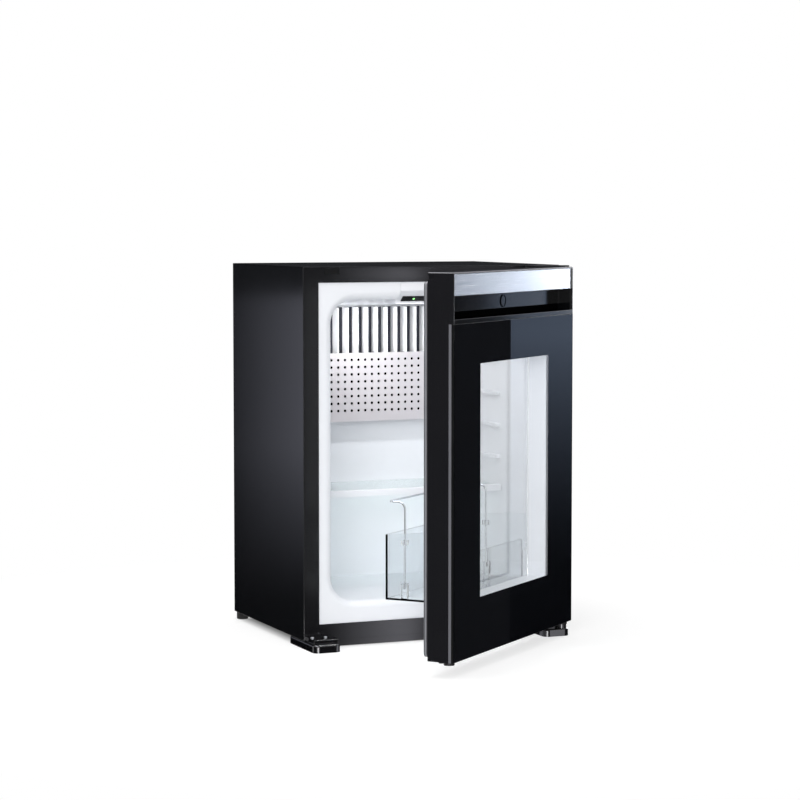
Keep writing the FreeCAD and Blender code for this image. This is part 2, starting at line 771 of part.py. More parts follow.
# Terminal box with its mains inlet
box_low = shell_low + box_rise
box_back = recess_front + box_depth
box_high = box_low + box_height
terminal = rounded_upright(box((box_left, box_right), (recess_front, box_back), (box_low, box_high)), box_wall)
terminal_room = box((box_left + box_wall, box_right - box_wall), (recess_front - overrun, box_back - box_wall),
                    (box_low + box_wall, box_high - box_wall))
inlet_x = (box_left + box_right) / 2
inlet_z = box_low + box_height / 2


def inlet_block(margin, y):
    """A block behind the inlet's outline, grown by a margin."""
    return box(span(inlet_x, inlet_width + 2 * margin), y, span(inlet_z, inlet_height + 2 * margin))


save("terminal_box", terminal.cut(terminal_room).cut(inlet_block(0, (recess_front, box_back + overrun))))
inlet_front = box_back - inlet_depth
inlet = inlet_block(0, (inlet_front, box_back))
inlet = inlet.fuse(inlet_block(inlet_flange, (box_back, box_back + inlet_flange)))
inlet = inlet.cut(inlet_block(-inlet_wall, (inlet_front + inlet_wall, box_back + overrun)))
for side in (-1, 0, 1):
    blade_x = inlet_x + side * inlet_pin_pitch
    inlet = inlet.fuse(box(span(blade_x, inlet_pin_thickness), (inlet_front, inlet_front + inlet_pin_length),
                           span(inlet_z, inlet_pin_width)))
save("mains_inlet", inlet)

# Door frame: a deep rim round the window and a head with the grip recess
leaf_opening = (half_width - door_profile, (door_low + door_profile, glass_high - door_profile / 2))
head_front = door_front + metal_strip
strip_high = door_high - strip_top_edge
strip_low = strip_high - strip_face
recess_low = strip_low - recess_height
tub_half = half_width - tub_end
tub_back = door_front + recess_depth + slot_depth + tub_wall
tub_limits = (head_front, tub_back), (recess_low - tub_wall, strip_low + tub_wall)
rim = frame_ring(half_width, (door_low, glass_high), *leaf_opening, (frame_front, door_back))
strip_half_length = half_width - strip_end_edge
inlay = (-strip_half_length, strip_half_length), (door_front - overrun, head_front)
head = box((-half_width, half_width), (door_front, door_back), (glass_high, door_high))
head = head.makeFillet(strip_top_edge * head_round_share, edges_at(head, "Z", door_high))
head = head.cut(box(*inlay, (glass_high - overrun, strip_high)))
head = head.cut(box((-tub_half, tub_half), *tub_limits))
pocket_half = half_width - head_pocket_side
head = head.cut(box((-pocket_half, pocket_half), (head_front, door_back - head_pocket_wall),
                    (strip_low + tub_wall + head_pocket_wall, door_high - head_pocket_wall)))
notch_high = door_high - end_notch_drop
notch = box((half_width - end_notch_depth, half_width + overrun),
            (door_back - end_notch_length, door_back + overrun), (notch_high - end_notch_height, notch_high))
notch_front = edges_at(notch, "Y", door_back - end_notch_length)
notch_edges = [edge for edge in notch_front if edge.BoundBox.ZLength < seat_gap]
notch = notch.makeFillet(end_notch_height / 3, notch_edges)
bush_hole = bush_body + 2 * running_gap
bush_hole_low = on_hinge(bush_hole, door_low - overrun, door_low + bush_length)
bush_hole_high = on_hinge(bush_hole, door_high - bush_length, door_high + overrun)
door_frame = rim.fuse(head).cut(both_sides(notch)).cut(both_sides(bush_hole_low)).cut(bush_hole_high)
save_on_door("door_frame", door_frame)

# Glass front: pane, printed border and the metal carrier behind them
front_limits = (door_low, glass_high)
save_on_door("door_glass_outer", box((-half_width, half_width), (door_front, mask_front), front_limits))
window = (window_width / 2, (window_low, window_high))
save_on_door("glass_mask", frame_ring(half_width, front_limits, *window, (mask_front, carrier_front)))
carrier_window = (window_width / 2 + carrier_window_margin,
                  (window_low - carrier_window_margin, window_high + carrier_window_margin))
carrier = frame_ring(half_width, front_limits, *carrier_window, (carrier_front, frame_front))
save_on_door("glass_carrier", carrier.cut(both_sides(bush_hole_low)))

# Head pieces: silver strip, grip tub, bar and lock blank
metal = box((-strip_half_length, strip_half_length), (door_front, head_front), (strip_low, strip_high))
save_on_door("handle_strip", metal.makeFillet(metal_strip / 4, edges_at(metal, "Y", door_front)))
recess_back = door_front + recess_depth
tub_inner = tub_half - tub_wall
tub = box((-tub_half, tub_half), *tub_limits)
tub = tub.cut(box((-tub_inner, tub_inner), (head_front - overrun, recess_back), (recess_low, strip_low)))
tub = tub.cut(box((-tub_inner, tub_inner), (recess_back - overrun, recess_back + slot_depth),
                  (recess_low, recess_low + slot_height)))
save_on_door("handle_tub", tub)
bar = box((-strip_half_length, strip_half_length), (door_front, head_front), (glass_high, recess_low))
save_on_door("grip_bar", bar.makeFillet(metal_strip / 4, edges_at(bar, "Y", door_front)))
blank_place = V(0, recess_back, strip_low - blank_drop)
blank = rod(blank_diameter, blank_proud, blank_place, V(0, -1, 0))
save_on_door("lock_blank", blank.makeFillet(blank_proud / 3, edges_at(blank, "Y", recess_back - blank_proud)))

# White door liner: back plate, window reveal, rim that enters the cold room and two studs for the bin
plate_front_y = door_back - door_wall
reveal_outer = (reveal_half + door_wall, (reveal_low - door_wall, reveal_high + door_wall))
reveal_inner = (reveal_half, (reveal_low, reveal_high))
liner_plate = frame_ring(leaf_opening[0], leaf_opening[1], *reveal_inner, (plate_front_y, door_back))
reveal = frame_ring(reveal_outer[0], reveal_outer[1], *reveal_inner, (frame_front, door_back))
rim_half = cavity_half - rim_clearance
rim_low = cavity_floor + rim_lip_clearance
rim_high = cavity_top - rim_lip_clearance
rim_end = door_back + rim_height
raised_rim = ring((door_back, rim_end), rim_half, rim_low, rim_high, rim_corner, rim_wall)
bin_half = rim_half - rim_wall - bin_side_gap
stud_y = door_back + stud_back_offset
hook_top = bin_low + hook_rise
stud_z = hook_top - seat_gap - stud_diameter / 2
stud = rod(stud_diameter, stud_length + rim_wall / 2, V(rim_half - rim_wall / 2, stud_y, stud_z), V(-1, 0, 0))
save_on_door("door_liner", liner_plate.fuse([reveal, raised_rim, stud, mirrored(stud)]))
pane_half = reveal_half - pane_seat / 2
pane_back = door_back - pane_seat
pane = box((-pane_half, pane_half), (pane_back - pane_thickness, pane_back),
           (reveal_low + pane_seat / 2, reveal_high - pane_seat / 2))
save_on_door("door_glass_inner", pane)
foam_outer = (leaf_opening[0] - seat_gap, (leaf_opening[1][0] + seat_gap, leaf_opening[1][1] - seat_gap))
foam_inner = (reveal_outer[0] + seat_gap, (reveal_outer[1][0] - seat_gap, reveal_outer[1][1] + seat_gap))
save_on_door("door_foam", frame_ring(*foam_outer, *foam_inner, (frame_front, plate_front_y)))

# Seal: a base, a narrow neck and the magnet bulb that meets the frame, set further in at the hinge side
seal_half = half_width - (gasket_inset + gasket_free_inset) / 2
seal_low = door_low + gasket_bottom_inset
seal_high = door_high - gasket_top_inset


def seal_ring(y, width):
    """One layer of the seal, centred on the width of its base."""
    inset = (gasket_base_width - width) / 2
    return ring(y, seal_half - inset, seal_low + inset, seal_high - inset, gasket_corner, width)


neck_front = door_back + gasket_base
bulb_front = neck_front + gasket_neck
gasket = seal_ring((door_back, neck_front), gasket_base_width)
gasket = gasket.fuse([seal_ring((neck_front, bulb_front), gasket_neck_width),
                      seal_ring((bulb_front, -seat_gap), gasket_bulb_width)])
gasket.translate(V((gasket_free_inset - gasket_inset) / 2, 0, 0))
save_on_door("gasket", gasket)

# Door bushes: two that turn on the hinge pins, and a spare stub at the free corner
pin_bore = on_hinge(bore_diameter, 0, shell_high)
low_flange = on_hinge(bush_flange, bush_low, door_low)
low_bush = on_hinge(bush_body, door_low, door_low + bush_length).fuse(low_flange)
save_on_door("hinge_bush_bottom", low_bush.cut(pin_bore))
save_on_door("hinge_bush_top", on_hinge(bush_body, door_high - bush_length, door_high).cut(pin_bore))
lug_y = hinge_y + stub_lug_offset
lug = rod(stub_lug_diameter, stub_lug_height, V(hinge_x, lug_y, door_low), V(0, 0, -1))
link = box(span(hinge_x, stub_lug_diameter), (hinge_y, lug_y), (door_low - stub_plate, door_low))
save_on_door("spare_bush", mirrored(low_bush.fuse([lug, link])))

# Clear bin: floor, walls and end plates whose hooks hang on the studs
bin_top = bin_low + bin_height
bin_back = door_back + bin_back_setback
hook_back = door_back + hook_plate_gap
end_top = bin_top + bin_end_rise
finger_low = hook_top - hook_finger_drop
end_view = [(bin_back, bin_low), (bin_front, bin_low), (bin_front, bin_top),
            (bin_back + bin_slope_start, end_top), (hook_back, end_top), (hook_back, finger_low),
            (bin_back, finger_low)]
end_plate = prism(end_view, (bin_half - bin_wall, bin_half))
top_edges = edges_at(end_plate, "Z", end_top)
corner_edges = [edge for edge in top_edges if abs(edge.BoundBox.YMax - hook_back) < seat_gap]
end_plate = end_plate.makeFillet(bin_end_corner, corner_edges)
hook_slot = box((0, half_width), span(stud_y, stud_diameter + 2 * seat_gap), (finger_low - overrun, hook_top))
end_plate = end_plate.cut(hook_slot)
floor_plate = box((-bin_half, bin_half), (bin_back, bin_front), (bin_low, bin_low + bin_wall))
front_wall = box((-bin_half, bin_half), (bin_front - bin_wall, bin_front), (bin_low, bin_top))
back_wall = box((-bin_half, bin_half), (bin_back, bin_back + bin_wall), (bin_low, bin_low + bin_back_height))
leg_x = bin_half - bin_wall - wire_wall_gap
leg_y = door_back + wire_leg_setback
leg_low = bin_low + wire_foot_rise
socket_x = (leg_x - wire_diameter / 2 - socket_wall, bin_half - bin_wall / 2)
socket_y = span(leg_y, socket_size)
socket = box(socket_x, socket_y, (bin_low, leg_low + wire_foot_rise / 2))
eyelet = box(socket_x, socket_y, (bin_low + eyelet_rise, bin_low + eyelet_rise + eyelet_height))
leg_hole = rod(wire_diameter + 2 * fit_gap, shell_height, V(leg_x, leg_y, leg_low), V(0, 0, 1))
bin_end = end_plate.fuse([socket, eyelet]).cut(leg_hole)
save_on_door("door_bin", floor_plate.fuse([front_wall, back_wall, bin_end, mirrored(bin_end)]))
rail_y = bin_front - wire_diameter / 2
rail_z = bin_low + wire_rail_rise
wire_points = [V(-leg_x, leg_y, leg_low), V(-leg_x, leg_y, rail_z), V(-leg_x, rail_y, rail_z),
               V(leg_x, rail_y, rail_z), V(leg_x, leg_y, rail_z), V(leg_x, leg_y, leg_low)]
save_on_door("bottle_guard", bent_rod(wire_points, wire_bend, wire_diameter))
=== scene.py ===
import math

import bpy
from mathutils import Matrix, Vector


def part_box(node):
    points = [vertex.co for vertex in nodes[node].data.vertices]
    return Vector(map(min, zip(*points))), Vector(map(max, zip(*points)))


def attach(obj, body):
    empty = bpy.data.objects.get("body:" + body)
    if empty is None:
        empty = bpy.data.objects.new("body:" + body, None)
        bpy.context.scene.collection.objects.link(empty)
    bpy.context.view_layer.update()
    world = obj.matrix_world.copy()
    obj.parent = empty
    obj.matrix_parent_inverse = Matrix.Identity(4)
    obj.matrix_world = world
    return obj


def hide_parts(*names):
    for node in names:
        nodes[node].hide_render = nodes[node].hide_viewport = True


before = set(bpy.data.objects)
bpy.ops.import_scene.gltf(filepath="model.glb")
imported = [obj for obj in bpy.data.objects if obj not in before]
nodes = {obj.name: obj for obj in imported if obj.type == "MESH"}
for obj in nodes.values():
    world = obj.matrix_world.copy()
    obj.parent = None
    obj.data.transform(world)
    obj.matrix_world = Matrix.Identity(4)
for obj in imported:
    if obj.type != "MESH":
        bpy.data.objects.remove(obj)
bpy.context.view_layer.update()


# Cabinet shell: folded sheet steel in a black satin powder coat. The side sheets and the top are folded
# round the back edge; their front edges carry the small round that the fold and the coat leave.

def srgb(red, green, blue):
    """An 8-bit screen colour as the linear colour a shader takes."""
    levels = []
    for value in (red, green, blue):
        share = value / 255
        levels.append(share / 12.92 if share <= 0.04045 else ((share + 0.055) / 1.055) ** 2.4)
    return (*levels, 1.0)


def new_material(name):
    """An empty node material with its principled shader."""
    material = bpy.data.materials.new(name)
    material.use_nodes = True
    tree = material.node_tree
    return material, tree, tree.nodes["Principled BSDF"]


def fill(tree, node, inputs):
    """Link each named input of a shader node to an output, or set it to a value."""
    for socket, value in inputs.items():
        if isinstance(value, bpy.types.NodeSocket):
            tree.links.new(value, node.inputs[socket])
        else:
            node.inputs[socket].default_value = value


def add_node(tree, kind, inputs=(), **settings):
    """A new shader node with its settings made first and its inputs filled after them."""
    node = tree.nodes.new("ShaderNode" + kind)
    for setting, value in settings.items():
        setattr(node, setting, value)
    fill(tree, node, dict(inputs))
    return node


def object_place(tree):
    """Where a point lies in the object, which each pattern is laid out on."""
    return add_node(tree, "TexCoord").outputs["Object"]


def grain_group():
    """Fine surface grain with slow cloudy changes of shade and gloss, on Object coordinates."""
    group = bpy.data.node_groups.new("surface_grain", "ShaderNodeTree")
    for side, names in (("INPUT", ("Color", "Shade", "Roughness", "Spread", "Grain", "Cloud")),
                        ("OUTPUT", ("Color", "Roughness", "Height"))):
        for name in names:
            kind = "NodeSocketColor" if name == "Color" else "NodeSocketFloat"
            group.interface.new_socket(name, in_out=side, socket_type=kind)
    inside, outside = group.nodes.new("NodeGroupInput"), group.nodes.new("NodeGroupOutput")
    place = object_place(group)
    fine = add_node(group, "TexNoise", {"Vector": place, "Scale": inside.outputs["Grain"], "Detail": 3})
    slow = add_node(group, "TexNoise", {"Vector": place, "Scale": inside.outputs["Cloud"], "Detail": 4,
                                        "Roughness": 0.6})
    noise_mean, plain = 0.5, 1.0
    centred = add_node(group, "Math", {0: slow.outputs["Fac"], 1: noise_mean}, operation="SUBTRACT")
    shade = add_node(group, "Math", {0: centred.outputs[0], 1: inside.outputs["Shade"], 2: plain},
                     operation="MULTIPLY_ADD")
    tint = add_node(group, "VectorMath", {0: inside.outputs["Color"], "Scale": shade.outputs[0]},
                    operation="SCALE")
    gloss = add_node(group, "Math", {0: centred.outputs[0], 1: inside.outputs["Spread"],
                                     2: inside.outputs["Roughness"]}, operation="MULTIPLY_ADD", use_clamp=True)
    fill(group, outside, {"Color": tint.outputs[0], "Roughness": gloss.outputs[0],
                          "Height": fine.outputs["Fac"]})
    return group


surface_grain = grain_group()


def grained(tree, colour, roughness, shade=0.25, spread=0.1, grain=900, cloud=14):
    """The grain group placed in a material with that material's own values."""
    return add_node(tree, "Group", {"Color": colour, "Roughness": roughness, "Shade": shade, "Spread": spread,
                                    "Grain": grain, "Cloud": cloud}, node_tree=surface_grain)


def relief(tree, shader, height, depth):
    """Relief of a given depth, in metres, from a height pattern."""
    bump = add_node(tree, "Bump", {"Height": height, "Distance": depth})
    fill(tree, shader, {"Normal": bump.outputs["Normal"]})


def finish(name, colour, roughness, depth=0.00003, metallic=0.0, specular=0.5, coat=0.0, **pattern):
    """A solid finish with grain in its relief and clouds in its shade and gloss."""
    material, tree, shader = new_material(name)
    surface = grained(tree, colour, roughness, **pattern)
    relief(tree, shader, surface.outputs["Height"], depth)
    fill(tree, shader, {"Base Color": surface.outputs["Color"], "Roughness": surface.outputs["Roughness"],
                        "Metallic": metallic, "Specular IOR Level": specular, "Coat Weight": coat,
                        "Coat Roughness": 0.08})
    return material


def dress(material, *names):
    """Give solids that stay as they are their finish."""
    for name in names:
        data = nodes[name].data
        data.materials.clear()
        data.materials.append(material)


def copied(node, name):
    """A merged copy of a solid's mesh as a new piece, left as the active object."""
    same_place, same_plane = 1e-6, math.radians(0.2)
    bpy.ops.object.select_all(action="DESELECT")
    nodes[node].select_set(True)
    bpy.context.view_layer.objects.active = nodes[node]
    bpy.ops.object.duplicate()
    piece = bpy.context.active_object
    piece.name = name
    piece.data.name = name
    for key in list(piece.keys()):
        del piece[key]
    bpy.ops.object.mode_set(mode="EDIT")
    bpy.ops.mesh.select_all(action="SELECT")
    bpy.ops.mesh.remove_doubles(threshold=same_place)
    bpy.ops.mesh.dissolve_limited(angle_limit=same_plane)
    bpy.ops.object.mode_set(mode="OBJECT")
    return piece


def smoothed(piece):
    """Soft shading over the rounds of the active piece, with its large flats kept flat."""
    crease, flat_weight = math.radians(35), 80
    bpy.ops.object.shade_smooth_by_angle(angle=crease)
    flats = piece.modifiers.new("flats", "WEIGHTED_NORMAL")
    flats.keep_sharp = True
    flats.weight = flat_weight
    bpy.ops.object.modifier_apply(modifier="flats")


def rounded(piece, width, segments=2):
    """Round the sharp edges of the active piece by a small width."""
    sharp = math.radians(40)
    bevel = piece.modifiers.new("round", "BEVEL")
    bevel.width = width
    bevel.segments = segments
    bevel.limit_method = "ANGLE"
    bevel.angle_limit = sharp
    bpy.ops.object.modifier_apply(modifier="round")
    smoothed(piece)


def wear(piece, material, body):
    """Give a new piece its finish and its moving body."""
    piece.data.materials.clear()
    piece.data.materials.append(material)
    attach(piece, body)


def eased(node, name, body, material, width, segments=2):
    """A copy of a solid with its sharp edges rounded, which stands in for it."""
    piece = copied(node, name)
    rounded(piece, width, segments)
    wear(piece, material, body)
    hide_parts(node)
    return piece


coat_black = finish("black_powder_coat", srgb(15, 16, 18), roughness=0.12, shade=0.3, spread=0.04, grain=1400,
                    cloud=9, depth=0.000003)
for side in ("left", "right"):
    eased(f"side_panel_{side}", f"side_sheet_{side}", "cabinet", coat_black,
          width=0.0008, segments=3)
eased("top_panel", "top_sheet", "cabinet", coat_black, width=0.0006)
dress(coat_black, "bottom_pan", "back_panel")


# Front frame and plinth: one black moulding that plugs into the shell and hides the edge of the liner,
# a strip under it between the feet, and a cap that closes the unused hinge place.
moulded_black = finish("black_moulding", srgb(15, 15, 17), roughness=0.2, shade=0.2, spread=0.06, grain=1100,
                       depth=0.000004)
eased("front_frame", "front_surround", "cabinet", moulded_black, width=0.0005)
eased("plinth", "plinth_strip", "cabinet", moulded_black, width=0.0005)
cap_black = finish("blank_cap_black", srgb(12, 12, 13), roughness=0.6, grain=800, specular=0.2)
eased("hinge_cap", "blank_cap", "cabinet", cap_black, width=0.0003)


# Cold room: a white vacuum-formed liner with soft corners, shelf ribs and a flange behind the frame.
# Pale rigid foam fills the space between it and the shell, and the door in the same way.
liner_white = finish("liner_white", srgb(239, 241, 245), roughness=0.3, shade=0.03, spread=0.08, grain=500,
                     cloud=7, depth=0.00002)
eased("inner_liner", "cold_room_liner", "cabinet", liner_white, width=0.0008)
foam = finish("rigid_foam", srgb(237, 235, 229), roughness=0.9, shade=0.5, grain=260, cloud=30, depth=0.0006)
dress(foam, "foam_insulation", "door_foam")


# Evaporator and its guard: upright aluminium fins on a plate at the back wall, whose dark grey is partly its
# own colour and partly painted shade between the fins, and a perforated sheet before their lower half, which
# catches the drip water. The fins are painted dark below the guard's top edge as painted shade, and a thin
# near-black sheet on the guard's back paints the shade that its holes show.

def axes_of(tree, place):
    """The X, Y and Z of a place."""
    return add_node(tree, "SeparateXYZ", {0: place}).outputs


def ramp(tree, value, start, stop, low=0.0, high=1.0, kind="LINEAR"):
    """A level that goes from low to high between two values, and stays as it is beyond them."""
    return add_node(tree, "MapRange", {"Value": value, "From Min": start, "From Max": stop, "To Min": low,
                                       "To Max": high}, interpolation_type=kind).outputs["Result"]


def blended(tree, share, first, second):
    """A first colour that goes over into a second one by a share."""
    return add_node(tree, "Mix", {"Factor": share, "A": first, "B": second}, data_type="RGBA").outputs["Result"]


def fins_on_plate(name, fin_colour, plate_and_gap_shade_colour, painted_shade_colour, plate_front, guard_top):
    """Bright fins that turn to the plate's colour behind them, with painted shade that darkens them below the
    guard's top edge.
    """
    plate_join, painted_shade_depth = (plate_front - 0.0012, plate_front - 0.0004), 0.006
    material, tree, shader = new_material(name)
    surface = grained(tree, fin_colour, roughness=0.4, shade=0.1, grain=700)
    axes = axes_of(tree, object_place(tree))
    behind = ramp(tree, axes["Y"], *plate_join)
    plate = blended(tree, behind, surface.outputs["Color"], plate_and_gap_shade_colour)
    under_guard_painted_shade = ramp(tree, axes["Z"], guard_top, guard_top - painted_shade_depth)
    with_painted_shade = blended(tree, under_guard_painted_shade, plate, painted_shade_colour)
    fill(tree, shader, {"Base Color": with_painted_shade, "Roughness": surface.outputs["Roughness"],
                        "Specular IOR Level": 0.3})
    relief(tree, shader, surface.outputs["Height"], depth=0.00003)
    return material


def block(name, low, high):
    """A new block between two corners, left as the active object."""
    low, high = Vector(low), Vector(high)
    bpy.ops.object.select_all(action="DESELECT")
    bpy.ops.mesh.primitive_cube_add(size=1, location=(low + high) / 2, scale=high - low)
    bpy.ops.object.transform_apply(location=True, rotation=True, scale=True)
    piece = bpy.context.active_object
    piece.name = name
    piece.data.name = name
    return piece


fin_low, fin_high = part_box("cooling_fins")
guard_low, guard_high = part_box("fin_guard")
plate_wall = 0.003
# The plate's dark grey is partly its own colour and partly painted shade; the near-black is painted shade on
# the fins below the guard.
evaporator_fins = fins_on_plate("evaporator_fins", srgb(250, 251, 253), srgb(52, 53, 64), srgb(10, 10, 12),
                                plate_front=fin_high.y - plate_wall, guard_top=guard_high.z)
dress(evaporator_fins, "cooling_fins")
guard_metal = finish("guard_aluminium", srgb(206, 202, 205), roughness=0.36, shade=0.12, metallic=0.35)
dress(guard_metal, "fin_guard")
# Painted shade: a near-black sheet behind the guard, so that its holes show dark.
shade_sheet_black = finish("shade_sheet_black", srgb(9, 9, 10), roughness=0.95, shade=0.4, grain=1600, depth=0.0002,
                      specular=0.0)
shade_sheet_front, shade_sheet_back, shade_sheet_edge = guard_low.y + 0.0012, guard_low.y + 0.0028, 0.003
shade_sheet = block("guard_shade_sheet", (guard_low.x + shade_sheet_edge, shade_sheet_front, guard_low.z + shade_sheet_edge),
                     (guard_high.x - shade_sheet_edge, shade_sheet_back, guard_high.z - shade_sheet_edge))
rounded(shade_sheet, width=0.0004)
wear(shade_sheet, shade_sheet_black, "cabinet")


# Glass shelf: a clear float glass pane with ground edges that lies loose on the lowest ribs of the liner,
# with a white moulding pushed over its front edge.

def show(tree, surface):
    """Make a shader the one that the material shows."""
    tree.links.new(surface, tree.nodes["Material Output"].inputs["Surface"])


def clear_glass(name, colour, roughness, index=1.5):
    """Clear pane: refracts what is behind it and lets the light of the lamps through."""
    material, tree, shader = new_material(name)
    smear = grained(tree, colour, roughness, shade=0.04, spread=0.02, grain=40, cloud=18)
    fill(tree, shader, {"Base Color": smear.outputs["Color"], "Roughness": smear.outputs["Roughness"],
                        "Transmission Weight": 1.0, "IOR": index})
    path = add_node(tree, "LightPath")
    open_way = add_node(tree, "BsdfTransparent", {"Color": colour})
    mix = add_node(tree, "MixShader", {"Fac": path.outputs["Is Shadow Ray"], 1: shader.outputs["BSDF"],
                                       2: open_way.outputs["BSDF"]})
    show(tree, mix.outputs["Shader"])
    return material


shelf_glass = clear_glass("shelf_glass", srgb(238, 247, 245), roughness=0.01)
eased("glass_shelf", "shelf_pane", "cabinet", shelf_glass, width=0.0006)
eased("shelf_trim", "shelf_front_edge", "cabinet", liner_white, width=0.0006)


# Lamp and control unit: a white housing let into the liner's upper lip, with a black panel, a push
# button, a green light and a lit lens underneath. A small board is fixed inside it.
housing_white = finish("housing_white", srgb(242, 243, 247), roughness=0.34, shade=0.04, grain=600)
eased("control_housing", "lamp_housing", "cabinet", housing_white, width=0.0006)
panel_black = finish("panel_black", srgb(10, 11, 12), roughness=0.16, shade=0.2, grain=700, depth=0.00001,
                     specular=0.1)
eased("control_strip", "control_panel", "cabinet", panel_black, width=0.0003)
button_black = finish("button_black", srgb(34, 35, 38), roughness=0.4)
dress(button_black, "temperature_button")
board_green = finish("board_green", srgb(24, 92, 52), roughness=0.4, shade=0.5, grain=300, cloud=120)
dress(board_green, "control_board")


def lit(name, colour, strength):
    """A moulded lens that glows a little unevenly."""
    material, tree, shader = new_material(name)
    surface = grained(tree, colour, roughness=0.25, shade=0.15, grain=500, cloud=60)
    fill(tree, shader, {"Base Color": surface.outputs["Color"], "Roughness": surface.outputs["Roughness"],
                        "Emission Color": surface.outputs["Color"], "Emission Strength": strength})
    return material


dress(lit("status_light", srgb(150, 242, 140), strength=1.0), "status_led")
dress(lit("lamp_lens", srgb(246, 248, 255), strength=0.9), "lamp_lens")


# Upper and lower hinge: a black bent steel plate screwed to the frame's top rail, with a bright steel pin
# pressed into it, and a second pin in the right front foot.
plate_black = finish("hinge_plate_black", srgb(34, 34, 37), roughness=0.4, grain=1200)
eased("top_hinge_plate", "upper_hinge_plate", "cabinet", plate_black, width=0.0003)
bright_steel = finish("bright_steel", srgb(196, 198, 202), roughness=0.28, shade=0.15, grain=1500, metallic=1.0)
dress(bright_steel, "top_hinge_pin", "lower_hinge_pin", "top_hinge_screws")


# Feet: glossy black mouldings under the front corners, each with a step before the frame and a hole for
# a floor screw, and round rubber feet at the back.
foot_gloss = finish("foot_gloss_black", srgb(11, 11, 13), roughness=0.14, shade=0.2, grain=500, depth=0.00001,
                    coat=0.5)
for side in ("left", "right"):
    eased(f"foot_front_{side}", f"front_foot_{side}", "cabinet", foot_gloss,
          width=0.0008, segments=3)
screw_steel = finish("foot_screw_steel", srgb(214, 216, 220), roughness=0.34, shade=0.3, grain=1500,
                     metallic=1.0)
dress(screw_steel, "foot_screws")
foot_rubber = finish("foot_rubber", srgb(26, 26, 26), roughness=0.7, grain=500, depth=0.00008)
dress(foot_rubber, "rear_foot_left", "rear_foot_right")


# Cooling unit at the back: boiler can, absorber vessel, coil and condenser in matt black paint, with
# bare aluminium fins and zinc-plated clips, and a moulded terminal box with the mains inlet.
unit_black = finish("unit_black_paint", srgb(27, 27, 28), roughness=0.55, shade=0.4, spread=0.2, grain=700,
                    cloud=25, depth=0.00008)
dress(unit_black, "boiler_can", "absorber_vessel", "absorber_coil", "condenser_tube")
fin_metal = finish("condenser_aluminium", srgb(196, 199, 205), roughness=0.42, shade=0.2, grain=700, cloud=40,
                   metallic=0.8)
dress(fin_metal, "condenser_fins")
clip_zinc = finish("clip_zinc", srgb(168, 171, 174), roughness=0.42, shade=0.4, grain=600, cloud=90,
                   metallic=1.0)
dress(clip_zinc, "unit_clips")
eased("terminal_box", "terminal_cover", "cabinet", moulded_black, width=0.0006)
dress(button_black, "mains_inlet")


# Door frame: a deep black moulding whose free end shows beside the glass, and whose rounded head holds
# the grip recess.
door_black = finish("door_black", srgb(20, 20, 23), roughness=0.24, shade=0.2, spread=0.06, grain=1100,
                    depth=0.000004, coat=0.4)
eased("door_frame", "door_moulding", "door", door_black, width=0.0007, segments=3)


# Glass front: a tinted pane with blacked edges and a black printed border on its back, and an aluminium
# carrier behind it, whose edge shows as a thin bright line at the free end of the door.
hinge_x, hinge_y, door_turn = 0.195, 0.003, math.radians(40.3)
on_door = (Matrix.Translation((hinge_x, hinge_y, 0)) @ Matrix.Rotation(door_turn, 4, "Z")
           @ Matrix.Translation((-hinge_x, -hinge_y, 0)))
along_axis = on_door.to_3x3() @ Vector((1, 0, 0))
depth_axis = on_door.to_3x3() @ Vector((0, 1, 0))


def door_slab(name, low, high):
    """A block between two corners given for the shut door, set at the angle at which the door stands."""
    piece = block(name, low, high)
    piece.data.transform(on_door)
    return piece


glass_front, glass_back, bond = -0.008, -0.005, 0.00005
pane_low, pane_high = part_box("door_glass_outer")
glass_low, glass_high, glass_half = pane_low.z, pane_high.z, 0.205
edge_paint = 0.0003
front_glass = clear_glass("door_front_glass", srgb(246, 247, 248), roughness=0.0)
pane = door_slab("door_front_pane", (edge_paint - glass_half, glass_front, glass_low + edge_paint),
                 (glass_half - edge_paint, glass_back + bond, glass_high - edge_paint))
rounded(pane, width=0.0002)
wear(pane, front_glass, "door")
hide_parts("door_glass_outer")
blacked_edge = finish("blacked_edge", srgb(9, 9, 10), roughness=0.3, shade=0.3, grain=800, depth=0.00001)
band = door_slab("pane_edge_band", (-glass_half, glass_front, glass_low), (glass_half, glass_back, glass_high))
bpy.ops.object.mode_set(mode="EDIT")
bpy.ops.mesh.select_mode(type="FACE")
bpy.ops.mesh.select_all(action="DESELECT")
bpy.ops.object.mode_set(mode="OBJECT")
facing_out = 0.7
for face in band.data.polygons:
    face.select = abs(face.normal.dot(depth_axis)) > facing_out
bpy.ops.object.mode_set(mode="EDIT")
bpy.ops.mesh.delete(type="FACE")
bpy.ops.object.mode_set(mode="OBJECT")
wall = band.modifiers.new("wall", "SOLIDIFY")
wall.thickness = edge_paint
wall.offset = -1
bpy.ops.object.modifier_apply(modifier="wall")
wear(band, blacked_edge, "door")
print_black = finish("printed_border", srgb(19, 20, 24), roughness=0.5, shade=0.2, grain=600, depth=0.00001,
                     specular=0.0)
dress(print_black, "glass_mask")
carrier_metal = finish("carrier_aluminium", srgb(124, 124, 130), roughness=0.4, shade=0.12, metallic=0.5)
dress(carrier_metal, "glass_carrier")


# Door head: a brushed aluminium strip with a black end piece at the hinge side, the glossy black grip tub
# under it with its blanked lock place and a slot lined in near-black as painted shade, and a slim black bar
# along the tub's lower edge.

def door_place(tree, scale=(1, 1, 1)):
    """Where a point lies on the door, along it, into it and up, measured from the hinge."""
    square = add_node(tree, "Mapping", {"Vector": object_place(tree), "Location": (hinge_x, hinge_y, 0),
                                        "Rotation": (0, 0, door_turn), "Scale": scale}, vector_type="TEXTURE")
    return square.outputs["Vector"]


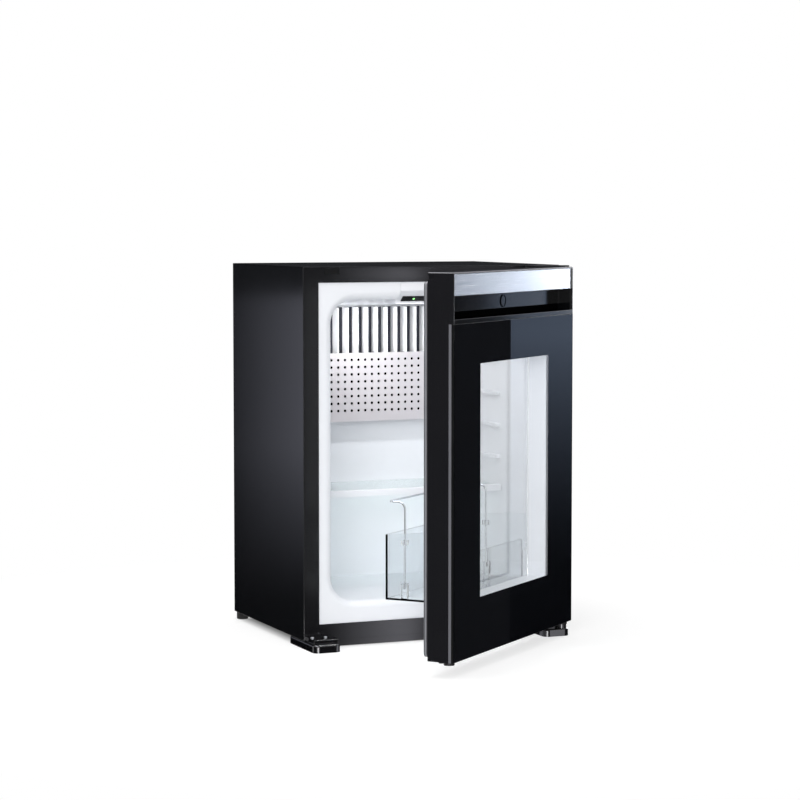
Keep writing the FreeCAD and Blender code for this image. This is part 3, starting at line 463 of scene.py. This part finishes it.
def brushed_metal(name, colour, roughness, metallic):
    """Aluminium brushed along the door, with fine long scratches in its shade, gloss and relief."""
    scratch, scratch_shade, scratch_gloss = (0.12, 0.0008, 0.0008), 0.88, 0.08
    material, tree, shader = new_material(name)
    noise = add_node(tree, "TexNoise", {"Vector": door_place(tree, scratch), "Scale": 2.0, "Detail": 4})
    lines = noise.outputs["Fac"]
    scratched = (*(level * scratch_shade for level in colour[:3]), 1.0)
    gloss = ramp(tree, lines, 0.0, 1.0, low=roughness - scratch_gloss, high=roughness + scratch_gloss)
    fill(tree, shader, {"Base Color": blended(tree, lines, scratched, colour), "Roughness": gloss,
                        "Metallic": metallic})
    relief(tree, shader, lines, depth=0.000003)
    return material


strip_metal = brushed_metal("strip_aluminium", srgb(222, 229, 240), roughness=0.25, metallic=0.92)
strip_low, strip_high = glass_high + 0.038, glass_high + 0.0676
strip_half, strip_end, strip_depth = 0.203, 0.194, 0.0015
strip = eased("handle_strip", "head_strip", "door", strip_metal, width=0.0003, segments=3)
bpy.ops.object.mode_set(mode="EDIT")
bpy.ops.mesh.select_all(action="SELECT")
bpy.ops.mesh.bisect(plane_co=on_door @ Vector((strip_end, 0, 0)), plane_no=along_axis, use_fill=True,
                    clear_outer=True)
bpy.ops.object.mode_set(mode="OBJECT")
bpy.ops.mesh.customdata_custom_splitnormals_clear()
smoothed(strip)
end_cap = door_slab("strip_end_cap", (strip_end + bond, glass_front, strip_low),
                    (strip_half, glass_front + strip_depth, strip_high))
rounded(end_cap, width=0.0003, segments=3)
wear(end_cap, cap_black, "door")
tub_gloss = finish("tub_gloss_black", srgb(11, 12, 14), roughness=0.1, shade=0.15, spread=0.03, grain=500,
                   depth=0.000005)
eased("handle_tub", "grip_tub", "door", tub_gloss, width=0.0006, segments=3)
dress(tub_gloss, "lock_blank")
# Painted shade: a near-black lining in the slot under the tub; the same black draws the seam round the lock
# blank.
seam_and_shade_black = finish("seam_and_slot_shade_black", srgb(5, 5, 6), roughness=0.95, shade=0.4, grain=2200, depth=0.0001,
                    specular=0.0)
slot_half, slot_front, slot_back = 0.1998, 0.0140, 0.0199
slot_low, slot_high = glass_high + 0.0063, glass_high + 0.0151
slot_shade_lining = door_slab("slot_painted_shade", (-slot_half, slot_front, slot_low), (slot_half, slot_back, slot_high))
rounded(slot_shade_lining, width=0.0012, segments=3)
wear(slot_shade_lining, seam_and_shade_black, "door")
blank_low, blank_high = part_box("lock_blank")
blank_middle = (blank_low + blank_high) / 2
blank_radius, groove, proud = (blank_high.z - blank_low.z) / 2, 0.0006, 0.0004
bpy.ops.object.select_all(action="DESELECT")
bpy.ops.mesh.primitive_torus_add(location=blank_middle - depth_axis * proud,
                                 rotation=(math.radians(90), 0, door_turn),
                                 major_radius=blank_radius - groove / 2, minor_radius=groove,
                                 major_segments=64, minor_segments=8)
bpy.ops.object.transform_apply(location=True, rotation=True, scale=True)
ring = bpy.context.active_object
ring.name = ring.data.name = "lock_blank_seam"
bpy.ops.object.shade_smooth()
wear(ring, seam_and_shade_black, "door")
lip_gloss = finish("lip_gloss_black", srgb(14, 14, 16), roughness=0.1, shade=0.2, spread=0.03, grain=600,
                   depth=0.000003)
eased("grip_bar", "grip_lip", "door", lip_gloss, width=0.0004)


# Door liner: white vacuum-formed plate, window reveal, rim and bin studs, with the inner pane at the window
# and a flat white cover clipped on the back of the door head, inside the seal.
eased("door_liner", "door_lining", "door", liner_white, width=0.0008)
cover_free, cover_hinge, cover_front, cover_back = -0.182, 0.178, 0.031, 0.0325
cover_low, cover_high = glass_high - 0.0112, glass_high + 0.041
head_cover = door_slab("head_cover", (cover_free, cover_front, cover_low),
                       (cover_hinge, cover_back, cover_high))
rounded(head_cover, width=0.0007, segments=3)
wear(head_cover, liner_white, "door")
inner_glass = clear_glass("door_inner_glass", srgb(250, 251, 251), roughness=0.0)
dress(inner_glass, "door_glass_inner")


# Seal: a flexible profile pushed into the door's back all round, mid grey at the bulb that holds the magnet
# strip, with painted shade that darkens its foot and a painted highlight along the bellows.

def seal_with_painted_light(name, stripes):
    """Flexible profile in stripes of painted shade and painted highlight along its length: a colour at each
    depth into the door.
    """
    material, tree, shader = new_material(name)
    first, last = stripes[0][0], stripes[-1][0]
    depth = ramp(tree, axes_of(tree, door_place(tree))["Y"], first - hinge_y, last - hinge_y)
    tone = add_node(tree, "ValToRGB", {"Fac": depth})
    stops = tone.color_ramp.elements
    for stripe_depth, colour in stripes[1:-1]:
        stops.new((stripe_depth - first) / (last - first)).color = colour
    stops[0].color, stops[len(stops) - 1].color = stripes[0][1], stripes[-1][1]
    surface = grained(tree, tone.outputs["Color"], roughness=0.42, shade=0.15, grain=700)
    fill(tree, shader, {"Base Color": surface.outputs["Color"], "Roughness": surface.outputs["Roughness"]})
    relief(tree, shader, surface.outputs["Height"], depth=0.00003)
    return material


# Painted shade at the foot and a painted highlight along the bellows, over the seal's mid grey.
painted_light_seal_grey = seal_with_painted_light("painted_light_seal_grey", ((0.0325, srgb(38, 38, 42)), (0.0346, srgb(150, 151, 156)),
                                       (0.0360, srgb(92, 93, 97))))
eased("gasket", "door_seal", "door", painted_light_seal_grey, width=0.0010, segments=3)


# Door bushes: turned black acetal sleeves pressed into the two hinge corners of the door frame, and a
# spare one at the lower free corner, for a door hung on the other side.
bush_black = finish("bush_black", srgb(16, 16, 18), roughness=0.35)
dress(bush_black, "hinge_bush_top", "hinge_bush_bottom", "spare_bush")


# Door bin: a clear moulded tray that hangs by two hooks on the studs of the door liner, with a guard of
# bright chromed wire that is bent to a bow and stands in two sockets of the tray.
bin_clear = clear_glass("bin_clear", srgb(247, 249, 250), roughness=0.01, index=1.45)
eased("door_bin", "clear_bin", "bin", bin_clear, width=0.0006)
wire_chrome = finish("wire_chrome", srgb(226, 228, 232), roughness=0.08, shade=0.05, grain=300, depth=0.000005,
                     metallic=1.0)
dress(wire_chrome, "bottle_guard")


# Studio floor and backdrop: a white floor that keeps the shadow, with a painted shadow under the cabinet where
# its lift fades out, which runs out into a plain white backdrop that metal and glass show as well.
floor_half, floor_fade = 8.0, (0.55, 1.0)
cabinet_middle, painted_shadow_edges = 0.192, (("X", 0.17, 0.215), ("Y", 0.12, 0.165))
floor_lift, backdrop_light = 0.66, 0.6
floor_grey, white = (0.42, 0.42, 0.42, 1), (1, 1, 1, 1)
bpy.ops.object.select_all(action="DESELECT")
bpy.ops.mesh.primitive_plane_add(size=2 * floor_half, location=(0, 0, 0))
floor = bpy.context.active_object
floor.name = "floor"
floor_white, floor_tree, floor_shader = new_material("floor_white")
floor_place = object_place(floor_tree)
from_middle = add_node(floor_tree, "Mapping", {"Vector": floor_place, "Location": (0, -cabinet_middle, 0)})
to_sides = add_node(floor_tree, "VectorMath", {0: from_middle.outputs["Vector"]}, operation="ABSOLUTE")
side_axes = axes_of(floor_tree, to_sides.outputs["Vector"])
# Painted shadow: the floor's lift fades out inside the cabinet's footprint.
painted_shadow_ramps = [ramp(floor_tree, side_axes[axis], inner, outer, high=floor_lift, kind="SMOOTHSTEP")
              for axis, inner, outer in painted_shadow_edges]
outside_painted_shadow = add_node(floor_tree, "Math", {0: painted_shadow_ramps[0], 1: painted_shadow_ramps[1]}, operation="MAXIMUM")
floor_path = add_node(floor_tree, "LightPath")
lifted = add_node(floor_tree, "Math", {0: floor_path.outputs["Is Camera Ray"], 1: outside_painted_shadow.outputs[0]},
                  operation="MULTIPLY")
fill(floor_tree, floor_shader, {"Base Color": floor_grey, "Roughness": 1.0, "Specular IOR Level": 0.0,
                                "Emission Color": white, "Emission Strength": lifted.outputs[0]})
reach = add_node(floor_tree, "VectorMath", {0: floor_place}, operation="LENGTH")
far_off = add_node(floor_tree, "Emission")
run_out = add_node(floor_tree, "MixShader", {"Fac": ramp(floor_tree, reach.outputs["Value"], *floor_fade),
                                             1: floor_shader.outputs["BSDF"], 2: far_off.outputs["Emission"]})
show(floor_tree, run_out.outputs["Shader"])
floor.data.materials.append(floor_white)
floor.visible_glossy = False
floor.visible_diffuse = False

world = bpy.data.worlds.new("studio")
bpy.context.scene.world = world
world.use_nodes = True
sky = world.node_tree
sky_path = add_node(sky, "LightPath")
mirrored = add_node(sky, "Math", {0: sky_path.outputs["Is Camera Ray"], 1: sky_path.outputs["Is Glossy Ray"]},
                    operation="ADD")
seen = add_node(sky, "Math", {0: mirrored.outputs[0], 1: sky_path.outputs["Is Transmission Ray"]},
                operation="ADD", use_clamp=True)
strength = ramp(sky, seen.outputs[0], 0.0, 1.0, low=backdrop_light)
fill(sky, sky.nodes["Background"], {"Color": white, "Strength": strength})


# Studio cards: large dim and bright boards round the object, which only its glossy sides mirror, and small
# ones behind the door that give the frame's rails the light that comes through the open gap.

def mirror_card(name, centre, size, facing, axis, ends, levels, fade=None):
    """A card seen only in reflections: its level changes along an axis, and fade, given as two heights and a
    power, dims it towards the floor."""
    bpy.ops.object.select_all(action="DESELECT")
    bpy.ops.mesh.primitive_plane_add(size=1, location=centre,
                                     rotation=Vector(facing).to_track_quat("Z", "Y").to_euler())
    card = bpy.context.active_object
    card.name = name
    card.scale = (*size, 1)
    bpy.ops.object.transform_apply(location=True, rotation=True, scale=True)
    material, tree, _ = new_material(name)
    axes = axes_of(tree, object_place(tree))
    first, second = ((*level, 1.0) for level in levels)
    glow = add_node(tree, "Emission", {"Color": blended(tree, ramp(tree, axes[axis], *ends), first, second)})
    if fade:
        dim, bright, power = fade
        dimmest = 0.02
        rise = ramp(tree, axes["Z"], dim, bright, low=dimmest)
        bend = add_node(tree, "Math", {0: rise, 1: power}, operation="POWER")
        fill(tree, glow, {"Strength": bend.outputs[0]})
    show(tree, glow.outputs["Emission"])
    card.data.materials.append(material)
    card.visible_camera = card.visible_diffuse = card.visible_transmission = card.visible_shadow = False


right_wall, left_wall, back_wall, front_wall, ceiling = 1.6, -2.2, 2.5, -2.5, 2.3
to_left, to_right, to_back, to_front, down = (-1, 0, 0), (1, 0, 0), (0, 1, 0), (0, -1, 0), (0, 0, -1)
dark = (0.02, 0.021, 0.024)
mirror_card("right_flag", (right_wall, -1.448, 0.5), (3.504, 2.4), to_left,
            axis="Z", ends=(-0.5, 1.5), levels=(dark, dark))
mirror_card("right_card", (right_wall, 1.204, 0.075), (1.8, 1.55), to_left,
            axis="Y", ends=(0.445, 0.62), levels=((0.38, 0.48, 0.67), (8.4, 8.5, 8.6)),
            fade=(-0.158, 0.381, 2.4))
mirror_card("right_hood", (right_wall, 1.204, 1.85), (1.8, 2.0), to_left,
            axis="Z", ends=(0.85, 2.0), levels=((1.5, 1.5, 1.65), (1.2, 1.2, 1.3)))
mirror_card("back_left_card", (-1.3, back_wall, -0.135), (1.4, 1.13), to_front,
            axis="X", ends=(-0.93, -1.5), levels=((0, 0, 0), (1.0, 1.02, 1.22)), fade=(-0.36, 0.05, 1.6))
mirror_card("back_left_hood", (-1.3, back_wall, 1.865), (1.4, 2.87), to_front,
            axis="Z", ends=(0.5, 1.9), levels=(dark, dark))
mirror_card("back_flag", (0.9, back_wall, 1.3), (3.0, 4.0), to_front,
            axis="Z", ends=(0.4, 1.2), levels=((0.019, 0.0195, 0.021), (0.034, 0.035, 0.04)))
mirror_card("front_card", (1.2, front_wall, 0.6), (2.6, 2.6), to_back,
            axis="X", ends=(0.95, 1.25), levels=(dark, (1.8, 1.8, 1.95)))
mirror_card("left_flag", (left_wall, -0.6, 0.6), (2.6, 3.0), to_right,
            axis="Z", ends=(-0.5, 1.5), levels=(dark, (0.06, 0.06, 0.065)))
mirror_card("overhead_card", (-0.3, -0.2, ceiling), (2.4, 2.4), down,
            axis="X", ends=(-0.7, -0.2), levels=((8, 8, 8.5), (1, 1, 1.1)))
mirror_card("foot_card", (-0.56, -1.15, -0.205), (0.6, 0.08), (0.3, 0.95, 0),
            axis="Z", ends=(-0.4, 0.0), levels=((12, 12, 12.4), (12, 12, 12.4)))

rail_height = 0.022
rail_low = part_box("front_frame")[1].z - rail_height
gap_depth, gap_half, gap_turn = 0.042, 0.18, -0.006
gap_peak, gap_dark, gap_end = (2.4, 2.4, 2.65), (0.03, 0.03, 0.033), (0.45, 0.45, 0.5)
gap_heights = (("upper", rail_low - 0.004, rail_low + 0.018), ("lower", -0.06, 0.034))
gap_spans = (("left", -gap_half, gap_turn, (-0.082, 0.002), (gap_dark, gap_peak)),
             ("right", gap_turn, gap_half, (0.018, 0.045), (gap_peak, gap_end)))
for height, low, high in gap_heights:
    for side, start, stop, ends, levels in gap_spans:
        middle = on_door @ Vector(((start + stop) / 2, gap_depth, (low + high) / 2))
        mirror_card(f"{height}_gap_{side}", middle, (stop - start, high - low), depth_axis, "X", ends, levels)


# Studio lamps and camera: soft light from above and from the front left, a small lamp under the lit lens
# and one on the fins inside the cold room, and the camera at the photographed angle.

def soft_lamp(name, place, target, size, watts):
    """A soft area lamp aimed at a point."""
    bpy.ops.object.light_add(type="AREA", location=place)
    lamp = bpy.context.active_object
    lamp.name = name
    lamp.data.shape = "RECTANGLE"
    lamp.data.size, lamp.data.size_y = size
    lamp.data.energy = watts
    lamp.rotation_euler = (Vector(target) - Vector(place)).to_track_quat("-Z", "Y").to_euler()
    lamp.visible_camera = False
    return lamp


soft_lamp("overhead", (-0.4, 0.3, 2.6), target=(0, 0, 0.2), size=(2.6, 2.6), watts=34)
front_fill = soft_lamp("front_fill", (-1.7, -2.6, 0.85), target=(0, 0.1, 0.35), size=(1.6, 1.2), watts=55)
front_fill.visible_glossy = False
lens_low, lens_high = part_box("lamp_lens")
lens_gap, lens_drop = 0.01, 0.004
soft_lamp("cold_room_lamp", (0, lens_high.y + lens_gap, lens_low.z - lens_drop), target=(0, 0.2, 0.0),
          size=(0.08, 0.012), watts=0.28)
fin_drop, fin_reach = 0.004, 0.13
fin_middle = (guard_high.z + fin_high.z) / 2 - fin_drop
fin_lamp = soft_lamp("fin_lamp", (-0.14, fin_low.y - fin_reach, fin_middle),
                     target=(0.0, fin_low.y, fin_middle), size=(0.03, 0.03), watts=0.085)
fin_lamp.data.spread = math.radians(75)

camera_place = Vector((-1.4852, -3.3527, 0.6323))
camera_yaw, camera_pitch, upright = math.radians(22.887), math.radians(-4.252), math.radians(90)
view = bpy.data.cameras.new("camera")
view.lens = 113.377
view.sensor_width = 36.0
camera = bpy.data.objects.new("camera", view)
bpy.context.scene.collection.objects.link(camera)
camera.location = camera_place
camera.rotation_euler = (upright + camera_pitch, 0, -camera_yaw)
bpy.context.scene.camera = camera
bpy.context.scene.view_settings.view_transform = "Standard"
